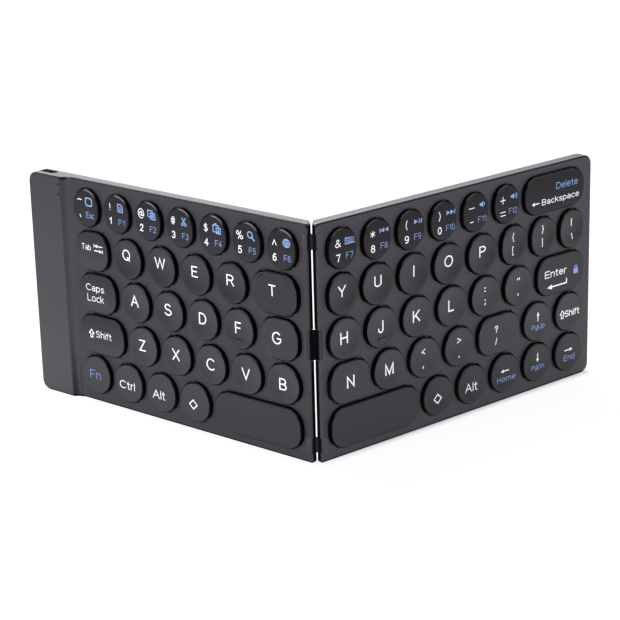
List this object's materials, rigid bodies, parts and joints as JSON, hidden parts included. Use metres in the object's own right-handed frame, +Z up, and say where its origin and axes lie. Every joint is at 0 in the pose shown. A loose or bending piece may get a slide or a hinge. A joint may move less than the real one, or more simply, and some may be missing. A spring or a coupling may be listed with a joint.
{
  "type": "folding keyboard",
  "caption": "Slim two-part folding keyboard with round keys, a raised battery bar and a twin-axis hinge, opened past flat and stood on its front edges.",
  "frame": {"origin": "middle of the standing footprint, on the surface under the front long edges", "axes": "+Z up along the hinge, +X to the right as the keys are seen, +Y away from the viewer into the open side of the V"},
  "size_m": [0.2422, 0.1045, 0.0992],
  "materials": {
    "deck_plastic": "fine satin texture",
    "shell_plastic": "fine satin texture",
    "key_plastic": "smooth satin",
    "number_key_plastic": "smooth satin",
    "plate_steel": "plain",
    "membrane_film": "clear film",
    "dome_rubber": "soft translucent",
    "board_laminate": "solder mask",
    "cell_foil": "foil",
    "port_steel": "plain",
    "light_lens": "clear",
    "foot_rubber": "matt",
    "screw_steel": "black oxide",
    "pin_steel": "ground",
    "link_metal": "satin",
    "sleeve_rubber": "matt",
    "cable_film": "film"
  },
  "bodies": {
    "left_half": {"left_deck": "deck_plastic", "left_back_shell": "shell_plastic", "left_support_plate": "plate_steel", "left_switch_membrane": "membrane_film", "left_rubber_domes": "dome_rubber", "main_circuit_board": "board_laminate", "battery": "cell_foil", "charging_port": "port_steel", "indicator_lights": "light_lens", "left_feet": "foot_rubber", "left_screws": "screw_steel", "left_hinge_pins": "pin_steel"},
    "hinge_link": {"hinge_links": "link_metal", "cable_sleeve": "sleeve_rubber", "ribbon_cable": "cable_film"},
    "right_half": {"right_deck": "deck_plastic", "right_back_shell": "shell_plastic", "right_support_plate": "plate_steel", "right_switch_membrane": "membrane_film", "right_rubber_domes": "dome_rubber", "right_feet": "foot_rubber", "right_screws": "screw_steel", "right_hinge_pins": "pin_steel"},
    "key_q_body": {"key_q": "key_plastic"},
    "key_w_body": {"key_w": "key_plastic"},
    "key_e_body": {"key_e": "key_plastic"},
    "key_r_body": {"key_r": "key_plastic"},
    "key_t_body": {"key_t": "key_plastic"},
    "key_a_body": {"key_a": "key_plastic"},
    "key_s_body": {"key_s": "key_plastic"},
    "key_d_body": {"key_d": "key_plastic"},
    "key_f_body": {"key_f": "key_plastic"},
    "key_g_body": {"key_g": "key_plastic"},
    "key_z_body": {"key_z": "key_plastic"},
    "key_x_body": {"key_x": "key_plastic"},
    "key_c_body": {"key_c": "key_plastic"},
    "key_v_body": {"key_v": "key_plastic"},
    "key_b_body": {"key_b": "key_plastic"},
    "left_number_keys_body": {"left_number_keys": "number_key_plastic"},
    "left_space_bar_body": {"left_space_bar": "key_plastic"},
    "left_modifier_keys_body": {"left_modifier_keys": "key_plastic"},
    "key_y_body": {"key_y": "key_plastic"},
    "key_u_body": {"key_u": "key_plastic"},
    "key_i_body": {"key_i": "key_plastic"},
    "key_o_body": {"key_o": "key_plastic"},
    "key_p_body": {"key_p": "key_plastic"},
    "key_h_body": {"key_h": "key_plastic"},
    "key_j_body": {"key_j": "key_plastic"},
    "key_k_body": {"key_k": "key_plastic"},
    "key_l_body": {"key_l": "key_plastic"},
    "key_n_body": {"key_n": "key_plastic"},
    "key_m_body": {"key_m": "key_plastic"},
    "right_number_keys_body": {"right_number_keys": "number_key_plastic"},
    "backspace_key_body": {"backspace_key": "number_key_plastic"},
    "enter_key_body": {"enter_key": "key_plastic"},
    "right_space_bar_body": {"right_space_bar": "key_plastic"},
    "right_modifier_keys_body": {"right_modifier_keys": "key_plastic"},
    "punctuation_keys_body": {"punctuation_keys": "key_plastic"},
    "arrow_keys_body": {"arrow_keys": "key_plastic"}
  },
  "joints": [
    {"name": "left_hinge", "type": "hinge", "parent": "left_half", "child": "hinge_link", "pos_m": [-0.00298, -0.05079, 0.0496], "axis": [0, 0, 1], "range_deg": [-129.75, 8]},
    {"name": "right_hinge", "type": "hinge", "parent": "hinge_link", "child": "right_half", "pos_m": [0.00242, -0.05079, 0.0496], "axis": [0, 0, 1], "range_deg": [-129.75, 8]},
    {"name": "key_q_press", "type": "slide", "parent": "left_half", "child": "key_q_body", "axis": [0.6428, 0.766, 0], "range_m": [0, 0.0012], "stiffness_N_per_m": 400},
    {"name": "key_w_press", "type": "slide", "parent": "left_half", "child": "key_w_body", "axis": [0.6428, 0.766, 0], "range_m": [0, 0.0012], "stiffness_N_per_m": 400},
    {"name": "key_e_press", "type": "slide", "parent": "left_half", "child": "key_e_body", "axis": [0.6428, 0.766, 0], "range_m": [0, 0.0012], "stiffness_N_per_m": 400},
    {"name": "key_r_press", "type": "slide", "parent": "left_half", "child": "key_r_body", "axis": [0.6428, 0.766, 0], "range_m": [0, 0.0012], "stiffness_N_per_m": 400},
    {"name": "key_t_press", "type": "slide", "parent": "left_half", "child": "key_t_body", "axis": [0.6428, 0.766, 0], "range_m": [0, 0.0012], "stiffness_N_per_m": 400},
    {"name": "key_a_press", "type": "slide", "parent": "left_half", "child": "key_a_body", "axis": [0.6428, 0.766, 0], "range_m": [0, 0.0012], "stiffness_N_per_m": 400},
    {"name": "key_s_press", "type": "slide", "parent": "left_half", "child": "key_s_body", "axis": [0.6428, 0.766, 0], "range_m": [0, 0.0012], "stiffness_N_per_m": 400},
    {"name": "key_d_press", "type": "slide", "parent": "left_half", "child": "key_d_body", "axis": [0.6428, 0.766, 0], "range_m": [0, 0.0012], "stiffness_N_per_m": 400},
    {"name": "key_f_press", "type": "slide", "parent": "left_half", "child": "key_f_body", "axis": [0.6428, 0.766, 0], "range_m": [0, 0.0012], "stiffness_N_per_m": 400},
    {"name": "key_g_press", "type": "slide", "parent": "left_half", "child": "key_g_body", "axis": [0.6428, 0.766, 0], "range_m": [0, 0.0012], "stiffness_N_per_m": 400},
    {"name": "key_z_press", "type": "slide", "parent": "left_half", "child": "key_z_body", "axis": [0.6428, 0.766, 0], "range_m": [0, 0.0012], "stiffness_N_per_m": 400},
    {"name": "key_x_press", "type": "slide", "parent": "left_half", "child": "key_x_body", "axis": [0.6428, 0.766, 0], "range_m": [0, 0.0012], "stiffness_N_per_m": 400},
    {"name": "key_c_press", "type": "slide", "parent": "left_half", "child": "key_c_body", "axis": [0.6428, 0.766, 0], "range_m": [0, 0.0012], "stiffness_N_per_m": 400},
    {"name": "key_v_press", "type": "slide", "parent": "left_half", "child": "key_v_body", "axis": [0.6428, 0.766, 0], "range_m": [0, 0.0012], "stiffness_N_per_m": 400},
    {"name": "key_b_press", "type": "slide", "parent": "left_half", "child": "key_b_body", "axis": [0.6428, 0.766, 0], "range_m": [0, 0.0012], "stiffness_N_per_m": 400},
    {"name": "left_number_keys_press", "type": "slide", "parent": "left_half", "child": "left_number_keys_body", "axis": [0.6428, 0.766, 0], "range_m": [0, 0.0012], "stiffness_N_per_m": 400},
    {"name": "left_space_bar_press", "type": "slide", "parent": "left_half", "child": "left_space_bar_body", "axis": [0.6428, 0.766, 0], "range_m": [0, 0.0012], "stiffness_N_per_m": 400, "deforming": ["left_rubber_domes"]},
    {"name": "left_modifier_keys_press", "type": "slide", "parent": "left_half", "child": "left_modifier_keys_body", "axis": [0.6428, 0.766, 0], "range_m": [0, 0.0012], "stiffness_N_per_m": 400},
    {"name": "key_y_press", "type": "slide", "parent": "right_half", "child": "key_y_body", "axis": [-0.6428, 0.766, 0], "range_m": [0, 0.0012], "stiffness_N_per_m": 400},
    {"name": "key_u_press", "type": "slide", "parent": "right_half", "child": "key_u_body", "axis": [-0.6428, 0.766, 0], "range_m": [0, 0.0012], "stiffness_N_per_m": 400},
    {"name": "key_i_press", "type": "slide", "parent": "right_half", "child": "key_i_body", "axis": [-0.6428, 0.766, 0], "range_m": [0, 0.0012], "stiffness_N_per_m": 400},
    {"name": "key_o_press", "type": "slide", "parent": "right_half", "child": "key_o_body", "axis": [-0.6428, 0.766, 0], "range_m": [0, 0.0012], "stiffness_N_per_m": 400},
    {"name": "key_p_press", "type": "slide", "parent": "right_half", "child": "key_p_body", "axis": [-0.6428, 0.766, 0], "range_m": [0, 0.0012], "stiffness_N_per_m": 400},
    {"name": "key_h_press", "type": "slide", "parent": "right_half", "child": "key_h_body", "axis": [-0.6428, 0.766, 0], "range_m": [0, 0.0012], "stiffness_N_per_m": 400},
    {"name": "key_j_press", "type": "slide", "parent": "right_half", "child": "key_j_body", "axis": [-0.6428, 0.766, 0], "range_m": [0, 0.0012], "stiffness_N_per_m": 400},
    {"name": "key_k_press", "type": "slide", "parent": "right_half", "child": "key_k_body", "axis": [-0.6428, 0.766, 0], "range_m": [0, 0.0012], "stiffness_N_per_m": 400},
    {"name": "key_l_press", "type": "slide", "parent": "right_half", "child": "key_l_body", "axis": [-0.6428, 0.766, 0], "range_m": [0, 0.0012], "stiffness_N_per_m": 400},
    {"name": "key_n_press", "type": "slide", "parent": "right_half", "child": "key_n_body", "axis": [-0.6428, 0.766, 0], "range_m": [0, 0.0012], "stiffness_N_per_m": 400},
    {"name": "key_m_press", "type": "slide", "parent": "right_half", "child": "key_m_body", "axis": [-0.6428, 0.766, 0], "range_m": [0, 0.0012], "stiffness_N_per_m": 400},
    {"name": "right_number_keys_press", "type": "slide", "parent": "right_half", "child": "right_number_keys_body", "axis": [-0.6428, 0.766, 0], "range_m": [0, 0.0012], "stiffness_N_per_m": 400},
    {"name": "backspace_key_press", "type": "slide", "parent": "right_half", "child": "backspace_key_body", "axis": [-0.6428, 0.766, 0], "range_m": [0, 0.0012], "stiffness_N_per_m": 400},
    {"name": "enter_key_press", "type": "slide", "parent": "right_half", "child": "enter_key_body", "axis": [-0.6428, 0.766, 0], "range_m": [0, 0.0012], "stiffness_N_per_m": 400},
    {"name": "right_space_bar_press", "type": "slide", "parent": "right_half", "child": "right_space_bar_body", "axis": [-0.6428, 0.766, 0], "range_m": [0, 0.0012], "stiffness_N_per_m": 400, "deforming": ["right_rubber_domes"]},
    {"name": "right_modifier_keys_press", "type": "slide", "parent": "right_half", "child": "right_modifier_keys_body", "axis": [-0.6428, 0.766, 0], "range_m": [0, 0.0012], "stiffness_N_per_m": 400},
    {"name": "punctuation_keys_press", "type": "slide", "parent": "right_half", "child": "punctuation_keys_body", "axis": [-0.6428, 0.766, 0], "range_m": [0, 0.0012], "stiffness_N_per_m": 400},
    {"name": "arrow_keys_press", "type": "slide", "parent": "right_half", "child": "arrow_keys_body", "axis": [-0.6428, 0.766, 0], "range_m": [0, 0.0012], "stiffness_N_per_m": 400}
  ],
  "couplings": [
    {"joint": "right_hinge", "follows": "left_hinge", "ratio": 1}
  ]
}
